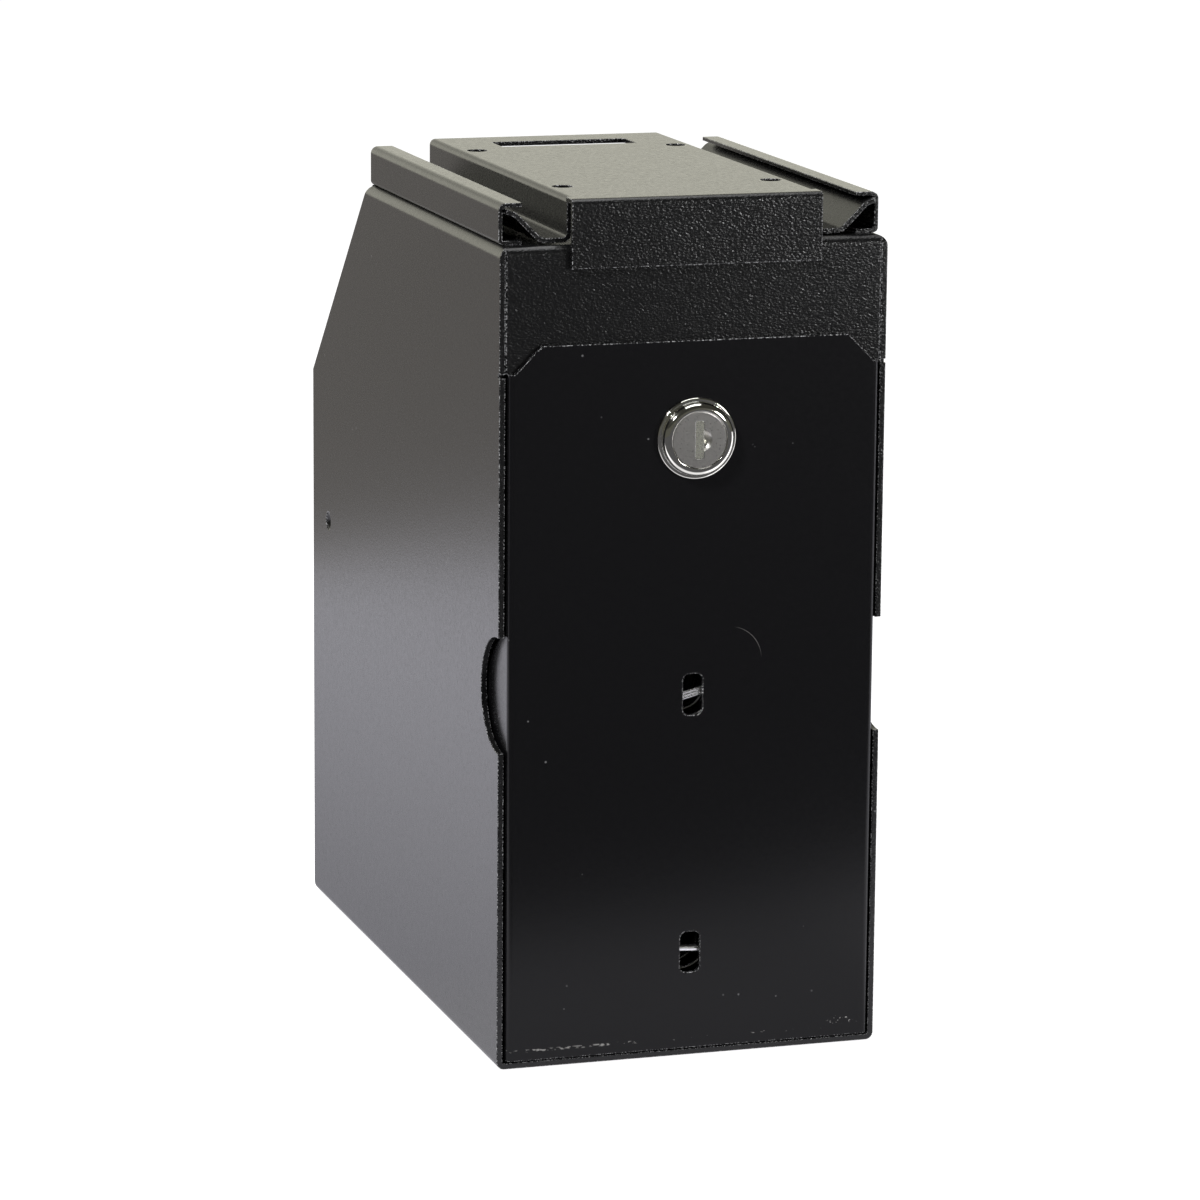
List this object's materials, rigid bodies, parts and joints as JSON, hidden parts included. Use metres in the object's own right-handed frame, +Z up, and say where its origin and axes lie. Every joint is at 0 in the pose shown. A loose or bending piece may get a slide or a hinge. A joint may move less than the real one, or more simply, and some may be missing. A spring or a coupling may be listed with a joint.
{
  "type": "cash drawer",
  "caption": "Upright under-counter cash deposit box with a lockable pull-out drawer, a sloped note slot and a slide-on counter bracket.",
  "frame": {"origin": "centre of the housing's base, on the plane it stands on", "axes": "+Z up, the lock face towards -Y, +X to the right seen from the front"},
  "size_m": [0.103, 0.1931, 0.2247],
  "materials": {
    "black_powder_coat": "fine textured black powder coat, semi-matt",
    "black_drawer_coat": "smoother black powder coat, satin",
    "dark_rivet": "hollow rivet, coated with the housing",
    "lock_chrome": "polished chrome",
    "lock_satin": "satin nickel face",
    "zinc_plate": "bright zinc plate",
    "spring_steel": "bright drawn wire",
    "glide_plastic": "white low-friction strip",
    "bezel_plastic": "black moulded edge"
  },
  "bodies": {
    "housing": {"housing_wrap": "black_powder_coat", "back_cover": "black_powder_coat", "cover_rivets": "dark_rivet", "left_rail": "black_powder_coat", "right_rail": "black_powder_coat", "left_glide": "glide_plastic", "right_glide": "glide_plastic", "note_slot_bezel": "bezel_plastic", "flap_bracket": "zinc_plate", "flap_pin": "spring_steel", "flap_spring": "spring_steel"},
    "bracket": {"counter_bracket": "black_powder_coat"},
    "drawer": {"drawer_wrap": "black_drawer_coat", "drawer_tray": "black_drawer_coat", "lock_barrel": "lock_chrome", "lock_washer": "zinc_plate", "lock_nut": "zinc_plate", "upper_anchor_wire": "spring_steel", "lower_anchor_pin": "spring_steel", "upper_spring": "spring_steel", "lower_spring": "spring_steel"},
    "lock": {"lock_plug": "lock_satin", "key_shutter": "zinc_plate", "lock_cam": "zinc_plate", "cam_washer": "zinc_plate", "cam_screw": "zinc_plate"},
    "follower": {"pressure_plate": "zinc_plate", "spring_cups": "zinc_plate"},
    "flap": {"note_flap": "zinc_plate"}
  },
  "joints": [
    {"name": "drawer_slide", "type": "slide", "parent": "housing", "child": "drawer", "axis": [0, -1, 0], "range_m": [0, 0.15]},
    {"name": "lock_turn", "type": "hinge", "parent": "drawer", "child": "lock", "pos_m": [0, -0.0955, 0.163], "axis": [0, -1, 0], "range_deg": [0, 90]},
    {"name": "follower_slide", "type": "slide", "parent": "drawer", "child": "follower", "axis": [0, -1, 0], "range_m": [0, 0.072], "stiffness_N_per_m": 60, "springref_m": -0.01, "deforming": ["upper_spring", "lower_spring"]},
    {"name": "bracket_slide", "type": "slide", "parent": "housing", "child": "bracket", "axis": [0, -1, 0], "range_m": [0, 0.11]},
    {"name": "flap_swing", "type": "hinge", "parent": "housing", "child": "flap", "pos_m": [0, 0.04538, 0.19469], "axis": [-1, 0, 0], "range_deg": [0, 50], "stiffness_Nm_per_rad": 0.006, "springref_deg": -20.05, "deforming": ["flap_spring"]}
  ]
}
